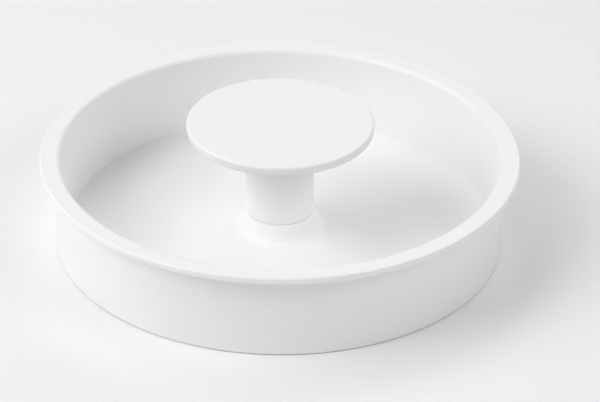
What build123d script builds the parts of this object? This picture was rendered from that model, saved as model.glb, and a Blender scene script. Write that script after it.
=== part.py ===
from build123d import *
import os
from math import hypot, radians, tan

os.makedirs("parts", exist_ok=True)

# Lazy susan turntable in millimetres. Z is the spin axis and points up, and the table top is at Z = 0.

# Tray: a round pan with a flat flange round its mouth and a flared hub in the middle of its floor
rim_radius = 140.0  # outer edge of the flange
flange_width = 11.8  # top of the flange, from the mouth outwards
flange_thickness = 3.7
rim_round = 1.1  # outer top edge of the flange
mouth_round = 2.8  # inner top edge, where the flange turns down into the pan
flange_low_round = 0.7  # lower outer edge of the flange
flange_root_round = 1.2  # where the flange's underside meets the wall
wall_thickness = 3.05  # at the mouth
wall_draft = 0.3  # degrees, outer face of the wall
pan_draft = 4.3  # degrees, inner face of the wall
pan_round = 2.6  # inside corner of wall and floor
pan_wall = 2.2  # pan's own wall beside the hollow behind it
tray_depth = 47.7  # floor to flange top
floor_thickness = 2.4
skirt_gap = 0.5  # lower edge of the wall above the table
skirt_thickness = 2.2  # outer wall beside the hollow
skirt_round = 0.3
hollow_share = 0.5  # width of the hollow at its top, as a share of that at the floor
rib_count = 12  # radial ribs under the floor, between base and wall
rib_thickness = 1.8
rib_lift = 1.7  # lower edge of a rib above the wall's lower edge
rib_gap = 3.0  # inner end of a rib to the edge of the base

# Hub of the tray, a cone that is hollow from below
hub_rise = 10.3  # seat of the post above the floor
hub_spread = 6.3  # widening of the cone from the post down to the floor
hub_flare = 6.0  # concave foot of the cone
hub_wall = 2.4
hub_plate = 2.8  # top of the hub
hub_round = 0.4  # outer edge of the seat

# Handle: a disc on a hollow post
post_radius = 20.1
post_length = 52.1  # from its seat on the hub to the disc's underside
post_wall = 2.4
post_web = 2.4  # closed top of the post
seam_height = 0.35  # shadow line round the foot of the post
seam_depth = 0.8
pillar_radius = 3.2  # screw pillars inside the post
pillar_height = 20.0
pillar_rib = 1.6
socket_depth = 0.8  # seats of the pillars in the hub and of the post in the disc
socket_play = 0.1
disc_radius = 54.5
disc_thickness = 5.8
disc_top_round = 1.4
disc_low_round = 1.0
disc_skin = 1.6  # disc left above its screw holes

# Small screws of the handle
screw_count = 3
screw_radius = 1.5
screw_head_radius = 2.7
screw_head_height = 1.8
screw_hole_play = 0.2
thread_play = 0.05
handle_screw_grip = 12.0  # length in the pillar
blind_end = 0.5  # free depth past the end of a screw

# Pivot: the tray's centre boss, with a washer and a screw below it that keep the base on
boss_radius = 6.0
pivot_play = 0.05
end_play = 0.3  # lift of the tray before the washer stops it
washer_radius = 9.5
washer_thickness = 1.0
pivot_screw_radius = 2.5
pivot_head_radius = 4.5
pivot_head_height = 2.2
pivot_grip = 7.0
drive_width = 0.9  # cross recess in a screw head
drive_depth = 1.0
drive_share = 1.3  # length of the cross in head radii
head_bevel = 0.6

# Base: a still disc under the floor, with a cup in the middle that hides the pivot screw
base_margin = 29.0  # edge of the base to the inside of the wall
base_thickness = 2.0
base_round = 0.5
base_lip_width = 1.6
base_lip_height = 1.0
cup_play = 1.5  # round the washer
head_recess = 1.5  # pivot screw's head above the base's underside

# Ball bearing
ball_count = 16
ball_diameter = 3.0
ball_play = 0.05  # above and below a ball
groove_depth = 0.45
groove_play = 0.6  # beside a ball, which the cage keeps in the middle
race_inset = 24.0  # middle of the race to the edge of the base
cage_width = 8.0
cage_thickness = 0.9
cage_play = 0.5  # between the cage and the guides beside it
pocket_play = 0.1
guide_width = 1.2

# Feet
foot_count = 6
foot_radius = 7.0
foot_inset = 11.0  # middle of a foot to the edge of the base
foot_proud = 1.2  # below the base
foot_recess = 0.8  # in the base
foot_play = 0.1
foot_bevel = 0.4

# Heights, from the table upwards
ball_radius = ball_diameter / 2
race_gap = 2 * (ball_radius + ball_play - groove_depth)
base_low = foot_proud
base_top = base_low + base_thickness
ball_level = base_top + race_gap / 2
floor_low = base_top + race_gap
floor_top = floor_low + floor_thickness
rim_top = floor_top + tray_depth
flange_low = rim_top - flange_thickness
skirt_low = skirt_gap
seat = floor_top + hub_rise
core_top = seat - hub_plate
disc_low = seat + post_length
disc_top = disc_low + disc_thickness
post_top = disc_low + socket_depth
web_low = post_top - post_web
cup_rise = end_play + washer_thickness + pivot_head_height + head_recess
cup_low = base_low + cup_rise
cup_top = cup_low + base_thickness
boss_low = cup_low - end_play
washer_low = boss_low - washer_thickness

# Radii of the wall: the outer skirt is almost upright, the pan inside it leans, and a hollow parts them
wall_slope = tan(radians(wall_draft))
pan_slope = tan(radians(pan_draft))
mouth_radius = rim_radius - flange_width
wall_top_radius = mouth_radius + wall_thickness
wall_low_radius = wall_top_radius - (flange_low - skirt_low) * wall_slope
skirt_radius = wall_low_radius - skirt_thickness
pan_radius = mouth_radius - tray_depth * pan_slope
hollow_outer = skirt_radius + (floor_low - skirt_low) * wall_slope
hollow_inner = pan_radius + pan_wall - floor_thickness * pan_slope
hollow_width = (hollow_outer - hollow_inner) * hollow_share
hollow_rise = (hollow_outer - hollow_inner - hollow_width) / (pan_slope - wall_slope)
hollow_top = floor_low + hollow_rise
hollow_top_outer = hollow_outer + hollow_rise * wall_slope

# Radii of the hub, whose inner cone follows the outer one
hub_slope = hub_spread / hub_rise
hub_foot = post_radius + hub_spread
core_step = hub_wall * hypot(1, hub_slope)
core_radius = post_radius + hub_plate * hub_slope - core_step
core_foot = post_radius + (seat - floor_low) * hub_slope - core_step

# Other radii
base_radius = skirt_radius - base_margin
race_radius = base_radius - race_inset
foot_circle = base_radius - foot_inset
post_bore = post_radius - post_wall
screw_circle = (boss_radius + core_radius) / 2
cup_bore = washer_radius + cup_play
cup_radius = cup_bore + base_thickness
disc_screw_grip = disc_thickness - socket_depth - disc_skin - blind_end


def turned(*corners):
    # Solid of revolution about Z. Each corner of its half section is a radius, a height and a rounding.
    section = make_face(Polyline(*[(radius, height) for radius, height, rounding in corners], close=True))
    for radius, height, rounding in corners:
        if rounding:
            corner = section.vertices().sort_by_distance((radius, height, 0))[0]
            section = fillet(corner, rounding)
    return revolve(Plane.XZ * section, Axis.Z)


standing = (Align.CENTER, Align.CENTER, Align.MIN)


def upright(radius, low, high):
    # Round bar on the Z axis between two heights
    return Pos(0, 0, low) * Cylinder(radius, high - low, align=standing)


def fin(inner, outer, thickness, low, high):
    # Radial wall along X between two radii and two heights
    middle = ((inner + outer) / 2, 0, (low + high) / 2)
    return Pos(*middle) * Box(outer - inner, thickness, high - low)


def around(radius, count, shape):
    # Copies of a shape at even steps on a circle about Z
    return [place * shape for place in PolarLocations(radius, count)]


def screw(radius, length, head_radius, head_height):
    # Pan-head screw, shank up from Z = 0, with a cross recess in the bevelled head below
    body = turned(
        (0, length, 0),
        (radius, length, 0),
        (radius, 0, 0),
        (head_radius, 0, 0),
        (head_radius, head_bevel - head_height, 0),
        (head_radius - head_bevel, -head_height, 0),
        (0, -head_height, 0),
    )
    bar = Box(drive_share * head_radius, drive_width, drive_depth, align=standing)
    return body - Pos(0, 0, -head_height) * (bar + Rot(0, 0, 90) * bar)


def race_groove():
    # Flat channel that the balls roll in, with its floor in the base and its roof in the tray
    low = base_top - groove_depth
    high = floor_low + groove_depth
    reach = ball_radius + groove_play
    return upright(race_radius + reach, low, high) - upright(race_radius - reach, low, high)


def make_tray():
    pan = turned(
        (0, seat, 0),
        (post_radius, seat, hub_round),
        (hub_foot, floor_top, hub_flare),
        (pan_radius, floor_top, pan_round),
        (mouth_radius, rim_top, mouth_round),
        (rim_radius, rim_top, rim_round),
        (rim_radius, flange_low, flange_low_round),
        (wall_top_radius, flange_low, flange_root_round),
        (wall_low_radius, skirt_low, skirt_round),
        (skirt_radius, skirt_low, skirt_round),
        (hollow_top_outer, hollow_top, 0),
        (hollow_top_outer - hollow_width, hollow_top, 0),
        (hollow_inner, floor_low, 0),
        (core_foot, floor_low, hub_flare + hub_wall),
        (core_radius, core_top, 0),
        (boss_radius, core_top, 0),
        (boss_radius, boss_low, 0),
        (0, boss_low, 0),
    )
    rib = fin(
        base_radius + rib_gap,
        skirt_radius + skirt_thickness / 2,
        rib_thickness,
        skirt_low + rib_lift,
        floor_low + floor_thickness / 2,
    )
    pan += around(0, rib_count, rib)
    pan -= race_groove()
    pan -= upright(pivot_screw_radius + thread_play, boss_low, boss_low + pivot_grip + blind_end)
    pan -= around(screw_circle, screw_count, upright(screw_radius + screw_hole_play, core_top, seat))
    pan -= around(screw_circle, screw_count, upright(pillar_radius + socket_play, seat - socket_depth, seat))
    return pan


def make_post():
    seam_top = seat + seam_height
    seam_radius = post_radius - seam_depth
    shell = turned(
        (0, post_top, 0),
        (post_radius, post_top, 0),
        (post_radius, seam_top, 0),
        (seam_radius, seam_top, 0),
        (seam_radius, seat, 0),
        (post_bore, seat, 0),
        (post_bore, web_low, 0),
        (0, web_low, 0),
    )
    foot = seat - socket_depth
    pillar_top = seat + pillar_height
    wall_middle = post_bore + post_wall / 2
    shell += around(screw_circle, screw_count, upright(pillar_radius, foot, pillar_top))
    rib = fin(screw_circle, wall_middle, pillar_rib, seat + socket_depth, pillar_top)
    shell += around(0, screw_count, rib)
    pilot = upright(screw_radius + thread_play, foot, foot + handle_screw_grip + blind_end)
    shell -= around(screw_circle, screw_count, pilot)
    shell -= around(screw_circle, screw_count, upright(screw_radius + screw_hole_play, web_low, post_top))
    return shell


def make_disc():
    plate = turned(
        (0, disc_top, 0),
        (disc_radius, disc_top, disc_top_round),
        (disc_radius, disc_low, disc_low_round),
        (post_radius + socket_play, disc_low, 0),
        (post_radius + socket_play, post_top, 0),
        (0, post_top, 0),
    )
    pilot = upright(screw_radius + thread_play, post_top, post_top + disc_screw_grip + blind_end)
    return plate - around(screw_circle, screw_count, pilot)


def make_base():
    plate = turned(
        (boss_radius + pivot_play, cup_top, 0),
        (cup_radius, cup_top, base_round),
        (cup_radius, base_top, 0),
        (base_radius - base_lip_width, base_top, 0),
        (base_radius - base_lip_width, base_top + base_lip_height, 0),
        (base_radius, base_top + base_lip_height, 0),
        (base_radius, base_low, base_round),
        (cup_bore, base_low, base_round),
        (cup_bore, cup_low, 0),
        (boss_radius + pivot_play, cup_low, 0),
    )
    reach = cage_width / 2 + cage_play
    for inner in (race_radius - reach - guide_width, race_radius + reach):
        ring = upright(inner + guide_width, base_top, ball_level) - upright(inner, base_top, ball_level)
        plate += ring
    plate -= race_groove()
    pocket = upright(foot_radius + foot_play, base_low, base_low + foot_recess)
    plate -= around(foot_circle, foot_count, pocket)
    return plate


def make_cage():
    low = ball_level - cage_thickness / 2
    high = ball_level + cage_thickness / 2
    ring = upright(race_radius + cage_width / 2, low, high) - upright(race_radius - cage_width / 2, low, high)
    return ring - around(race_radius, ball_count, upright(ball_radius + pocket_play, low, high))


def make_foot():
    return turned(
        (0, base_low + foot_recess, 0),
        (foot_radius, base_low + foot_recess, 0),
        (foot_radius, foot_bevel, 0),
        (foot_radius - foot_bevel, 0, 0),
        (0, 0, 0),
    )


handle_screw = screw(
    screw_radius, hub_plate - socket_depth + handle_screw_grip, screw_head_radius, screw_head_height
)
disc_screw = screw(screw_radius, post_web + disc_screw_grip, screw_head_radius, screw_head_height)
pivot_screw = screw(pivot_screw_radius, washer_thickness + pivot_grip, pivot_head_radius, pivot_head_height)
washer_bore = pivot_screw_radius + thread_play

nodes = {
    "tray": make_tray(),
    "handle_post": make_post(),
    "handle_disc": make_disc(),
    "handle_screws": Part() + around(screw_circle, screw_count, Pos(0, 0, core_top) * handle_screw),
    "disc_screws": Part() + around(screw_circle, screw_count, Pos(0, 0, web_low) * disc_screw),
    "pivot_screw": Pos(0, 0, washer_low) * pivot_screw,
    "pivot_washer": upright(washer_radius, washer_low, boss_low) - upright(washer_bore, washer_low, boss_low),
    "base": make_base(),
    "ball_cage": make_cage(),
}
balls = around(race_radius, ball_count, Pos(0, 0, ball_level) * Sphere(ball_radius))
for number, ball in enumerate(balls, 1):
    nodes[f"ball_{number:02d}"] = ball
for number, foot in enumerate(around(foot_circle, foot_count, make_foot()), 1):
    nodes[f"foot_{number}"] = foot

for name, solid in nodes.items():
    export_step(solid, f"parts/{name}.step")
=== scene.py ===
from math import cos, radians, sin, tan

import bmesh
import bpy
import numpy as np
from mathutils import Matrix, Vector


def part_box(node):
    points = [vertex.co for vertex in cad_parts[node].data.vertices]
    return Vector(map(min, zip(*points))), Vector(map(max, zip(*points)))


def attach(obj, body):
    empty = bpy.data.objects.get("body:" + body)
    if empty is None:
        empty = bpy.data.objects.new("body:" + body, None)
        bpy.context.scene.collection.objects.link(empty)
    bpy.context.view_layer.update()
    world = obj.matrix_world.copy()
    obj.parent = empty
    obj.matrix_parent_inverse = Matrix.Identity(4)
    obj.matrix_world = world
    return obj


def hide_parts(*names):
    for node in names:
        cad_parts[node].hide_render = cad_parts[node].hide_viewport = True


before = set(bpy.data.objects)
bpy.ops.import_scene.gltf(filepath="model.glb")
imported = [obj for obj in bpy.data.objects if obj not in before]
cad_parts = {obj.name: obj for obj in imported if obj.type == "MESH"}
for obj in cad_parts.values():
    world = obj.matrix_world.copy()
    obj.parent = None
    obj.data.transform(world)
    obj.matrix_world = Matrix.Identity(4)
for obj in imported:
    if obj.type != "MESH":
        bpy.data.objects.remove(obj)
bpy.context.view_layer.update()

mm = 0.001
print("frame loaded:", len(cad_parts), "nodes")


def boxOf(node):
    # low and high corner of a CAD node in mm
    return tuple(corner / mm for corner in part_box(node))


# Sections and turned surfaces

sectionFinish = {
    "arcSteps": 9,  # per quarter turn of a rounding
    "leastSteps": 3,
    "support": 0.25,  # mm from the end of a straight side to the point that keeps it flat
    "supportFrom": 1.0,  # mm, a shorter side has no such points
    "sharpAngle": 32,  # degrees
    "mergeDistance": 1e-7,  # metres
}


def roundedOutline(corners):
    # section points in mm from corners of (radius, height, rounding): a rounding becomes an arc
    # tangent to both sides, and a straight side gets a point near either end so that it shades flat
    places = np.array([corner[:2] for corner in corners], float)
    neighbours = zip(np.roll(places, 1, 0), places, np.roll(places, -1, 0))
    runs = []
    for (before, here, after), (_, _, rounding) in zip(neighbours, corners):
        if not rounding:
            runs.append(here[None])
            continue
        toBefore = (before - here) / np.linalg.norm(before - here)
        toAfter = (after - here) / np.linalg.norm(after - here)
        half = np.arccos(np.clip(toBefore @ toAfter, -1, 1)) / 2
        middle = (toBefore + toAfter) / np.linalg.norm(toBefore + toAfter)
        centre = here + middle * rounding / np.sin(half)
        start = here + toBefore * rounding / np.tan(half) - centre
        end = here + toAfter * rounding / np.tan(half) - centre
        first = np.arctan2(start[1], start[0])
        sweep = (np.arctan2(end[1], end[0]) - first + np.pi) % (2 * np.pi) - np.pi
        steps = round(sectionFinish["arcSteps"] * abs(sweep) / (np.pi / 2))
        steps = max(sectionFinish["leastSteps"], steps)
        angle = first + sweep * np.linspace(0, 1, steps + 1)
        runs.append(centre + rounding * np.stack([np.cos(angle), np.sin(angle)], 1))
    points = []
    for run, nextRun in zip(runs, runs[1:] + runs[:1]):
        points.append(run)
        side = nextRun[0] - run[-1]
        length = np.linalg.norm(side)
        if length > sectionFinish["supportFrom"]:
            step = side / length * sectionFinish["support"]
            points.append(np.stack([run[-1] + step, nextRun[0] - step]))
    return np.concatenate(points)


def turnedGrid(section, segments, closed=False, centre=(0, 0)):
    # point (u, v): the section's point v swung by the angle u about an upright axis through centre
    angle = np.linspace(0, 2 * np.pi, segments, endpoint=False)
    radius, height = section.T
    across = centre[0] + np.outer(np.cos(angle), radius)
    along = centre[1] + np.outer(np.sin(angle), radius)
    places = np.stack([across, along, np.tile(height, (segments, 1))], -1).reshape(-1, 3)
    count = len(section)
    strips = count if closed else count - 1
    u, v = np.meshgrid(np.arange(segments), np.arange(strips), indexing="ij")
    nextU, nextV = (u + 1) % segments, (v + 1) % count
    ring, nextRing = u * count, nextU * count
    faces = np.stack([ring + v, nextRing + v, nextRing + nextV, ring + nextV], -1)
    return places, faces.reshape(-1, 4)


def joined(grids):
    # several grids as one set of places and faces
    starts = np.cumsum([0] + [len(places) for places, _ in grids[:-1]])
    places = np.concatenate([places for places, _ in grids])
    faces = np.concatenate([faces + start for (_, faces), start in zip(grids, starts)])
    return places, faces


def finishedPiece(name, grid, body, material, replaced=()):
    # mesh object from places in mm and faces, with poles closed and normals outward
    places, faces = grid
    mesh = bpy.data.meshes.new(name)
    mesh.from_pydata((places * mm).tolist(), [], faces.tolist())
    shell = bmesh.new()
    shell.from_mesh(mesh)
    bmesh.ops.remove_doubles(shell, verts=shell.verts, dist=sectionFinish["mergeDistance"])
    bmesh.ops.recalc_face_normals(shell, faces=shell.faces)
    shell.to_mesh(mesh)
    shell.free()
    mesh.polygons.foreach_set("use_smooth", np.ones(len(mesh.polygons), bool))
    mesh.set_sharp_from_angle(angle=radians(sectionFinish["sharpAngle"]))
    mesh.materials.append(material)
    piece = bpy.data.objects.new(name, mesh)
    bpy.context.scene.collection.objects.link(piece)
    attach(piece, body)
    if replaced:
        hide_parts(*replaced)


# Shader maths


class Sock:
    # a node socket that takes part in plain expressions
    def __init__(self, tree, socket):
        self.tree = tree
        self.socket = socket

    def node(self, kind, settings=None, output=0, **inputs):
        # any node: settings first, then values or links, each socket by its name with _ for a space
        # or by its number, as in i0
        made = self.tree.nodes.new(kind)
        for key, value in (settings or {}).items():
            setattr(made, key, value)
        for key, value in inputs.items():
            byNumber = key[0] == "i" and key[1:].isdigit()
            target = made.inputs[int(key[1:]) if byNumber else key.replace("_", " ")]
            if isinstance(value, Sock):
                self.tree.links.new(value.socket, target)
            else:
                target.default_value = value
        return Sock(self.tree, made.outputs[output])

    def maths(self, operation, first, second):
        return self.node("ShaderNodeMath", {"operation": operation}, i0=first, i1=second)

    def __add__(self, other):
        return self.maths("ADD", self, other)

    __radd__ = __add__

    def __mul__(self, other):
        return self.maths("MULTIPLY", self, other)

    __rmul__ = __mul__

    def __sub__(self, other):
        return self.maths("SUBTRACT", self, other)

    def __rsub__(self, other):
        return self.maths("SUBTRACT", other, self)

    def noise(self, scale, detail):
        # noise texture at these coordinates, scale per metre
        return self.node("ShaderNodeTexNoise", Vector=self, Scale=scale, Detail=detail)

    def between(self, low, high):
        # colour from low to high by this value
        colours = {"data_type": "RGBA"}
        return self.node("ShaderNodeMix", colours, output=2, i0=self, i6=(*low, 1), i7=(*high, 1))

    def feed(self, shader, socket):
        self.tree.links.new(self.socket, shader.inputs[socket])

    def feedRelief(self, shader):
        # this value as a height in metres
        bump = self.node("ShaderNodeBump", Height=self, Strength=1.0, Distance=1.0)
        bump.feed(shader, "Normal")


def newMaterial(name):
    # Principled material, its shader node and a Sock on Object coordinates
    material = bpy.data.materials.new(name)
    material.use_nodes = True
    tree = material.node_tree
    where = Sock(tree, tree.nodes.new("ShaderNodeTexCoord").outputs["Object"])
    return material, tree.nodes["Principled BSDF"], where


def mouldedPlastic(name, look):
    # slow tone and gloss drift, the mould's spark-eroded grain and the faint waves of a cooled skin
    material, shader, where = newMaterial(name)
    cloud = where.noise(*look["cloud"])
    grain = where.noise(*look["grain"])
    wave = where.noise(*look["wave"])
    cloud.between(look["dark"], look["light"]).feed(shader, "Base Color")
    gloss = look["roughness"] + (cloud + grain - 1.0) * look["drift"]  # both noises lie about 0.5
    gloss.feed(shader, "Roughness")
    relief = grain * look["grainDepth"] + wave * look["waveDepth"]
    relief.feedRelief(shader)
    return material


def plainSteel(name, look):
    # metal with a drift of tarnish in its colour and gloss, and fine marks
    material, shader, where = newMaterial(name)
    tarnish = where.noise(*look["tarnish"])
    marks = where.noise(*look["marks"])
    tarnish.between(look["dark"], look["light"]).feed(shader, "Base Color")
    gloss = look["roughness"] + tarnish * look["drift"]
    gloss.feed(shader, "Roughness")
    relief = marks * look["markDepth"]
    relief.feedRelief(shader)
    shader.inputs["Metallic"].default_value = 1.0
    return material


def softRubber(name, look):
    # matt rubber with dust caught in its grain
    material, shader, where = newMaterial(name)
    dust = where.noise(*look["dust"])
    grain = where.noise(*look["grain"])
    dust.between(look["dark"], look["light"]).feed(shader, "Base Color")
    gloss = look["roughness"] + dust * look["drift"]
    gloss.feed(shader, "Roughness")
    relief = grain * look["grainDepth"]
    relief.feedRelief(shader)
    return material


# each noise is given by its scale per metre and its detail, and each depth in metres
satinWhite = {
    "dark": (0.941, 0.942, 0.943),
    "light": (0.953, 0.953, 0.951),
    "roughness": 0.47,
    "drift": 0.05,
    "cloud": (9.0, 3.0),
    "grain": (2600.0, 2.0),
    "grainDepth": 4e-6,
    "wave": (22.0, 1.0),
    "waveDepth": 4e-5,
}
handleWhite = {**satinWhite, "roughness": 0.45}
mattWhite = {
    **satinWhite,
    "dark": (0.74, 0.74, 0.73),
    "light": (0.79, 0.79, 0.78),
    "roughness": 0.55,
    "grainDepth": 1e-5,
}
naturalGrey = {**mattWhite, "dark": (0.34, 0.36, 0.37), "light": (0.40, 0.42, 0.43)}
polished = {
    "dark": (0.60, 0.60, 0.62),
    "light": (0.74, 0.74, 0.75),
    "roughness": 0.08,
    "drift": 0.10,
    "tarnish": (900.0, 3.0),
    "marks": (5200.0, 2.0),
    "markDepth": 5e-7,
}
zincPlated = {
    **polished,
    "dark": (0.50, 0.51, 0.53),
    "light": (0.66, 0.66, 0.66),
    "roughness": 0.26,
    "drift": 0.20,
    "tarnish": (1400.0, 3.0),
    "markDepth": 8e-6,
}
darkRubber = {
    "dark": (0.035, 0.035, 0.036),
    "light": (0.075, 0.074, 0.072),
    "roughness": 0.70,
    "drift": 0.18,
    "dust": (260.0, 4.0),
    "grain": (3200.0, 3.0),
    "grainDepth": 3e-5,
}

trayFinish = mouldedPlastic("trayPlastic", satinWhite)
handleFinish = mouldedPlastic("handlePlastic", handleWhite)
baseFinish = mouldedPlastic("basePlastic", mattWhite)
cageFinish = mouldedPlastic("cagePlastic", naturalGrey)
ballFinish = plainSteel("ballSteel", polished)
screwFinish = plainSteel("screwSteel", zincPlated)
footFinish = softRubber("footRubber", darkRubber)
print("finishes ready")


# Tray, lengths in mm and drafts in degrees

trayLow, trayHigh = boxOf("tray")
postLow, postHigh = boxOf("handle_post")
discLow, discHigh = boxOf("handle_disc")
ballLow, ballHigh = boxOf("ball_01")
tray = {
    "segments": 320,
    "flangeWidth": 11.8,
    "flangeThickness": 3.7,
    "rimRound": 1.1,
    "mouthRound": 2.8,
    "flangeLowRound": 0.7,
    "flangeRootRound": 1.2,
    "wallThickness": 3.05,  # at the mouth
    "wallDraft": 0.3,
    "panDraft": 4.3,
    "panRound": 0.6,  # crisper than in the solid, as photographed
    "panWall": 2.2,
    "depth": 47.7,
    "floorThickness": 2.4,
    "skirtThickness": 2.2,
    "skirtRound": 0.3,
    "hollowShare": 0.5,  # width of the wall's hollow at its top, as a share of that at the floor
    "hubRise": 10.3,
    "hubSpread": 4.5,  # slimmer than in the solid, as photographed
    "hubFlare": 4.5,
    "hubWall": 2.4,
    "hubPlate": 2.8,
    "hubRound": 0.4,
    "bossRadius": 6.0,
    "bossLow": 5.9,
    "grooveDepth": 0.45,
    "groovePlay": 0.6,
    "ribCount": 12,
    "ribThickness": 1.8,
    "ribDraft": 1.5,
    "ribRound": 0.4,
    "ribLift": 1.7,
    "ribGap": 3.0,
}
rimRadius, rimTop, skirtLow = trayHigh.x, trayHigh.z, trayLow.z
postRadius = postHigh.x
floorTop = rimTop - tray["depth"]
floorLow = floorTop - tray["floorThickness"]
seat = floorTop + tray["hubRise"]  # where the post stands
wallSlope, panSlope = tan(radians(tray["wallDraft"])), tan(radians(tray["panDraft"]))
flangeLow = rimTop - tray["flangeThickness"]
mouthRadius = rimRadius - tray["flangeWidth"]
wallTopRadius = mouthRadius + tray["wallThickness"]
wallLowRadius = wallTopRadius - (flangeLow - skirtLow) * wallSlope
skirtRadius = wallLowRadius - tray["skirtThickness"]
raceRadius = (ballLow.x + ballHigh.x) / 2


def buildTray():
    # section from the hub's top over the floor, the wall and the rim, and back along the underside
    t = tray
    panRadius = mouthRadius - t["depth"] * panSlope
    hollowOuter = skirtRadius + (floorLow - skirtLow) * wallSlope
    hollowInner = panRadius + t["panWall"] - t["floorThickness"] * panSlope
    hollowWidth = (hollowOuter - hollowInner) * t["hollowShare"]
    hollowRise = (hollowOuter - hollowInner - hollowWidth) / (panSlope - wallSlope)
    hollowTopOuter = hollowOuter + hollowRise * wallSlope
    hubSlope = t["hubSpread"] / t["hubRise"]
    coreStep = t["hubWall"] * (1 + hubSlope**2) ** 0.5
    coreTop = seat - t["hubPlate"]
    coreTopRadius = postRadius + t["hubPlate"] * hubSlope - coreStep
    coreLowRadius = postRadius + (seat - floorLow) * hubSlope - coreStep
    grooveReach = (ballHigh.x - ballLow.x) / 2 + t["groovePlay"]
    grooveTop = floorLow + t["grooveDepth"]
    corners = [
        (0, seat, 0),
        (postRadius, seat, t["hubRound"]),
        (postRadius + t["hubSpread"], floorTop, t["hubFlare"]),
        (panRadius, floorTop, t["panRound"]),
        (mouthRadius, rimTop, t["mouthRound"]),
        (rimRadius, rimTop, t["rimRound"]),
        (rimRadius, flangeLow, t["flangeLowRound"]),
        (wallTopRadius, flangeLow, t["flangeRootRound"]),
        (wallLowRadius, skirtLow, t["skirtRound"]),
        (skirtRadius, skirtLow, t["skirtRound"]),
        (hollowTopOuter, floorLow + hollowRise, 0),
        (hollowTopOuter - hollowWidth, floorLow + hollowRise, 0),
        (hollowInner, floorLow, 0),
        (raceRadius + grooveReach, floorLow, 0),
        (raceRadius + grooveReach, grooveTop, 0),
        (raceRadius - grooveReach, grooveTop, 0),
        (raceRadius - grooveReach, floorLow, 0),
        (coreLowRadius, floorLow, t["hubFlare"] + t["hubWall"]),
        (coreTopRadius, coreTop, 0),
        (t["bossRadius"], coreTop, 0),
        (t["bossRadius"], t["bossLow"], 0),
        (0, t["bossLow"], 0),
    ]
    grid = turnedGrid(roundedOutline(corners), t["segments"])
    finishedPiece("tray_pan", grid, "tray", trayFinish, ["tray"])


def buildRibs():
    # each rib is an upright section, narrower at its rounded lower edge, drawn out along the radius
    t = tray
    top = floorLow + t["floorThickness"] / 2
    low = skirtLow + t["ribLift"]
    halfTop = t["ribThickness"] / 2
    halfLow = halfTop - (top - low) * tan(radians(t["ribDraft"]))
    corners = [
        (-halfTop, top, 0),
        (-halfLow, low, t["ribRound"]),
        (halfLow, low, t["ribRound"]),
        (halfTop, top, 0),
    ]
    edge = roundedOutline(corners)
    baseRadius = boxOf("base")[1].x
    ends = (baseRadius + t["ribGap"], skirtRadius + t["skirtThickness"] / 2)
    count = len(edge)
    rib = np.concatenate([np.column_stack([np.full(count, end), edge]) for end in ends])
    v = np.arange(count)
    nextV = (v + 1) % count
    sides = np.stack([v, nextV, nextV + count, v + count], 1)
    k = np.arange(count // 2 - 1)
    cap = np.stack([k, k + 1, count - 2 - k, count - 1 - k], 1)  # each end closed by strips across it
    faces = np.concatenate([sides, cap, cap + count])
    turns = np.linspace(0, 2 * np.pi, t["ribCount"], endpoint=False)
    cosines, sines = np.cos(turns), np.sin(turns)
    swings = [np.array([[c, s, 0], [-s, c, 0], [0, 0, 1]]) for c, s in zip(cosines, sines)]
    grid = joined([(rib @ swing, faces) for swing in swings])
    finishedPiece("tray_ribs", grid, "tray", trayFinish)


buildTray()
buildRibs()
print("tray built: floor at", round(floorTop, 2), "mm, rim at", round(rimTop, 2), "mm")


# Handle, lengths in mm

handle = {
    "postSegments": 192,
    "postWall": 2.4,
    "postWeb": 2.4,
    "postLowRound": 0.15,
    "boreRound": 0.6,
    "seamHeight": 0.35,
    "seamDepth": 0.8,
    "discSegments": 256,
    "discTopRound": 1.4,
    "discLowRound": 2.2,  # softer than in the solid, as photographed
    "socketPlay": 0.1,
    "socketRound": 0.2,
    "pillarSegments": 48,
    "pillarRadius": 3.2,
    "pillarBore": 1.55,
    "pillarHeight": 20.0,
    "pillarTopRound": 0.3,
    "pillarLowRound": 0.2,
    "pillarCircle": 12.5,
    "pillarCount": 3,
}


def buildPost():
    # section of a tube with a web across its top and a groove round its foot for the shadow line
    h = handle
    seamTop = seat + h["seamHeight"]
    seamRadius = postRadius - h["seamDepth"]
    bore = postRadius - h["postWall"]
    webLow = postHigh.z - h["postWeb"]
    corners = [
        (0, postHigh.z, 0),
        (postRadius, postHigh.z, 0),
        (postRadius, seamTop, h["postLowRound"]),
        (seamRadius, seamTop, 0),
        (seamRadius, seat, 0),
        (bore, seat, 0),
        (bore, webLow, h["boreRound"]),
        (0, webLow, 0),
    ]
    grid = turnedGrid(roundedOutline(corners), h["postSegments"])
    finishedPiece("post_shell", grid, "tray", handleFinish, ["handle_post"])


def buildPillars():
    # three screw pillars inside the post, each a tube round its own axis
    h = handle
    low, high = postLow.z, seat + h["pillarHeight"]
    corners = [
        (h["pillarBore"], high, 0),
        (h["pillarRadius"], high, h["pillarTopRound"]),
        (h["pillarRadius"], low, h["pillarLowRound"]),
        (h["pillarBore"], low, h["pillarLowRound"]),
    ]
    section = roundedOutline(corners)
    segments = h["pillarSegments"]
    turns = np.linspace(0, 2 * np.pi, h["pillarCount"], endpoint=False)
    centres = h["pillarCircle"] * np.stack([np.cos(turns), np.sin(turns)], 1)
    grids = [turnedGrid(section, segments, closed=True, centre=centre) for centre in centres]
    finishedPiece("post_pillars", joined(grids), "tray", handleFinish)


def buildDisc():
    # section of a flat disc with a socket below for the post
    h = handle
    socket = postRadius + h["socketPlay"]
    corners = [
        (0, discHigh.z, 0),
        (discHigh.x, discHigh.z, h["discTopRound"]),
        (discHigh.x, discLow.z, h["discLowRound"]),
        (socket, discLow.z, h["socketRound"]),
        (socket, postHigh.z, 0),
        (0, postHigh.z, 0),
    ]
    grid = turnedGrid(roundedOutline(corners), h["discSegments"])
    finishedPiece("grip_disc", grid, "tray", handleFinish, ["handle_disc"])


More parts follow.
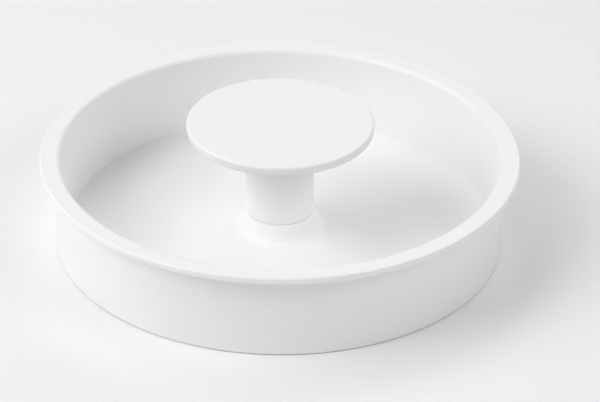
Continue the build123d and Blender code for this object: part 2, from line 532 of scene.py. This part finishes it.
buildPost()
buildPillars()
buildDisc()
print("handle built: disc top at", round(discHigh.z, 2), "mm")


# Bearing and feet, lengths in mm

bearing = {"ballSegments": 48, "ballRings": 24}
foot = {
    "segments": 72,
    "topRound": 0.1,
    "edgeRound": 0.5,
    "dishRadius": 4.2,
    "dishDepth": 0.35,
    "dishRound": 0.3,
}


def buildBalls():
    # half circle from pole to pole, swung about each ball's own axis
    lift = np.linspace(-np.pi / 2, np.pi / 2, bearing["ballRings"] + 1)
    for node in [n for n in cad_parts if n.startswith("ball_") and n != "ball_cage"]:
        low, high = boxOf(node)
        centre = (low + high) / 2
        radius = (high.z - low.z) / 2
        section = np.stack([radius * np.cos(lift), centre.z + radius * np.sin(lift)], 1)
        section[[0, -1], 0] = 0
        grid = turnedGrid(section, bearing["ballSegments"], centre=(centre.x, centre.y))
        finishedPiece(node + "_polished", grid, "cage", ballFinish, [node])


def buildFeet():
    # round rubber pad with a soft edge and a shallow dish in its underside
    f = foot
    for node in [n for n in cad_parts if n.startswith("foot_")]:
        low, high = boxOf(node)
        radius = (high.x - low.x) / 2
        dishTop = low.z + f["dishDepth"]
        corners = [
            (0, high.z, 0),
            (radius, high.z, f["topRound"]),
            (radius, low.z, f["edgeRound"]),
            (f["dishRadius"], low.z, f["dishRound"]),
            (f["dishRadius"] - f["dishDepth"], dishTop, f["dishRound"]),
            (0, dishTop, 0),
        ]
        centre = ((low.x + high.x) / 2, (low.y + high.y) / 2)
        grid = turnedGrid(roundedOutline(corners), f["segments"], centre=centre)
        finishedPiece(node + "_pad", grid, "base", footFinish, [node])


buildBalls()
buildFeet()

# CAD pieces that stay, each with its own finish
keptFinish = {
    "base": baseFinish,
    "ball_cage": cageFinish,
    "handle_screws": screwFinish,
    "disc_screws": screwFinish,
    "pivot_screw": screwFinish,
    "pivot_washer": screwFinish,
}
for node, finish in keptFinish.items():
    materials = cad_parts[node].data.materials
    materials.clear()
    materials.append(finish)
print("bearing and feet built,", len(keptFinish), "CAD pieces kept")


# Table, light and camera, lengths in metres and angles in degrees

table = {
    "size": 6.0,
    "dark": (0.910, 0.910, 0.910),
    "light": (0.922, 0.922, 0.922),
    "cloud": (2.0, 2.0),  # noise scale per metre and detail
    "roughness": 0.75,
    "specular": 0.2,
}

# softboxes by azimuth from +X, height above the table, width, power in watts and colour
warm, neutral, cool = (1.005, 1.0, 0.995), (1.0, 1.0, 1.0), (0.985, 0.998, 1.018)
softboxes = {
    "keyLow": (185, 34, 2.4, 17.8, warm),
    "keyHigh": (195, 48, 2.4, 20.0, warm),
    "keyFront": (210, 42, 1.2, 6.7, warm),
    "frontRight": (330, 42, 1.2, 10.3, cool),
    "frontRightWide": (315, 42, 2.4, 8.2, cool),
    "backRight": (60, 28, 2.4, 14.9, neutral),
    "backLeft": (120, 60, 1.2, 7.6, neutral),
}
softboxDistance = 2.5
dullSoftboxes = ("keyLow",)  # kept out of the gloss, so that a low view towards them doesn't burn out
room = {"light": 0.175, "seen": 0.86, "colour": (0.993, 0.999, 1.009)}


def buildTable():
    half = table["size"] / 2
    corners = [(-half, -half, 0), (half, -half, 0), (half, half, 0), (-half, half, 0)]
    mesh = bpy.data.meshes.new("tableTop")
    mesh.from_pydata(corners, [], [(0, 1, 2, 3)])
    material, shader, where = newMaterial("paleTable")
    where.noise(*table["cloud"]).between(table["dark"], table["light"]).feed(shader, "Base Color")
    shader.inputs["Roughness"].default_value = table["roughness"]
    shader.inputs["Specular IOR Level"].default_value = table["specular"]
    mesh.materials.append(material)
    top = bpy.data.objects.new("tableTop", mesh)
    bpy.context.scene.collection.objects.link(top)


def buildLight():
    # round softboxes on a dome about the origin, each facing it
    for name, (azimuth, height, width, power, colour) in softboxes.items():
        across = Vector((cos(radians(azimuth)), sin(radians(azimuth)), 0))
        toLight = across * cos(radians(height)) + Vector((0, 0, sin(radians(height))))
        lamp = bpy.data.lights.new(name, "AREA")
        lamp.shape = "DISK"
        lamp.size = width
        lamp.energy = power
        lamp.color = colour
        holder = bpy.data.objects.new(name, lamp)
        holder.location = toLight * softboxDistance
        holder.rotation_euler = toLight.to_track_quat("Z", "Y").to_euler()
        holder.visible_camera = False
        holder.visible_glossy = name not in dullSoftboxes
        bpy.context.scene.collection.objects.link(holder)


def buildRoom():
    # even light from a pale room, which the camera sees brighter past the table's edge
    world = bpy.data.worlds.new("paleRoom")
    bpy.context.scene.world = world
    world.use_nodes = True
    tree = world.node_tree
    seen = Sock(tree, tree.nodes.new("ShaderNodeLightPath").outputs["Is Camera Ray"])
    background = tree.nodes["Background"]
    background.inputs["Color"].default_value = (*room["colour"], 1)
    strength = room["light"] + seen * (room["seen"] - room["light"])
    strength.feed(background, "Strength")


cameraFit = {
    "imageWidth": 600,
    "focalPixels": 3166.1,
    "back": 1.60617,  # in front of the spin axis
    "height": 0.96563,  # above the table
    "yaw": 0.428,
    "pitch": 30.411,
    "roll": 0.700,
    "sensorWidth": 36.0,  # mm
    "farthest": 50.0,
}


def buildCamera():
    # stands in front of the axis, turned by yaw, then down by pitch, then rolled about its own view
    c = cameraFit
    yaw, pitch, roll = radians(c["yaw"]), radians(c["pitch"]), radians(c["roll"])
    ahead = Vector((sin(yaw) * cos(pitch), cos(yaw) * cos(pitch), -sin(pitch)))
    right = Vector((cos(yaw), -sin(yaw), 0))
    up = right.cross(ahead)
    right, up = cos(roll) * right + sin(roll) * up, cos(roll) * up - sin(roll) * right
    data = bpy.data.cameras.new("photoCamera")
    data.sensor_fit = "HORIZONTAL"
    data.sensor_width = c["sensorWidth"]
    data.lens = c["focalPixels"] / c["imageWidth"] * c["sensorWidth"]
    data.clip_end = c["farthest"]
    camera = bpy.data.objects.new("photoCamera", data)
    turn = Matrix((right, up, -ahead)).transposed().to_4x4()
    camera.matrix_world = Matrix.Translation((0, -c["back"], c["height"])) @ turn
    bpy.context.scene.collection.objects.link(camera)
    bpy.context.scene.camera = camera


buildTable()
buildLight()
buildRoom()
buildCamera()
bpy.context.scene.view_settings.view_transform = "Standard"
print("table,", len(softboxes), "softboxes and camera placed")
